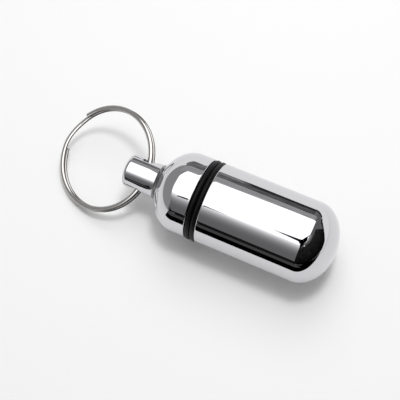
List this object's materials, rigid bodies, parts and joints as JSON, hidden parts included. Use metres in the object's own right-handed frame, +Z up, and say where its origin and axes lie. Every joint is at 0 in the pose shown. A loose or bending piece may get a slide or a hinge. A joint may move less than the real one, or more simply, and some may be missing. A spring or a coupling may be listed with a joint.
{
  "type": "keychain capsule",
  "caption": "Screw-top metal capsule with domed ends, a black double seal at the joint, and a split ring through an eye on the cap.",
  "frame": {"origin": "on the surface that the fob lies on, under the middle of its outline", "axes": "+X along the capsule from the ring end to the barrel's closed end, +Z up from the surface"},
  "size_m": [0.0664, 0.0228, 0.018],
  "materials": {
    "polished_chrome": "mirror-polished chrome plate on drawn brass",
    "plated_screw": "turned thread, nickel plated, satin",
    "seal_rubber": "smooth black nitrile rubber",
    "ring_steel": "bright drawn spring steel, nickel plated"
  },
  "bodies": {
    "barrel": {"barrel_shell": "polished_chrome", "thread_collar": "plated_screw"},
    "seals": {"front_seal": "seal_rubber", "rear_seal": "seal_rubber"},
    "cap": {"cap_shell": "polished_chrome", "neck_eye": "polished_chrome", "threaded_plug": "plated_screw"},
    "ring": {"split_ring": "ring_steel"}
  },
  "joints": [
    {"name": "cap_lift", "type": "slide", "parent": "barrel", "child": "seals", "axis": [-1, 0, 0], "range_m": [0, 0.0055]},
    {"name": "cap_turn", "type": "hinge", "parent": "seals", "child": "cap", "pos_m": [0.00245, -0.00154, 0.009], "axis": [-1, 0, 0], "range_deg": [0, 1980]},
    {"name": "ring_swing", "type": "hinge", "parent": "cap", "child": "ring", "pos_m": [-0.01145, -0.00154, 0.009], "axis": [0, 0.866, 0.5], "range_deg": [-135, 167]}
  ],
  "couplings": [
    {"joint": "cap_lift", "follows": "cap_turn", "m_per_rad": 0.00015915}
  ]
}
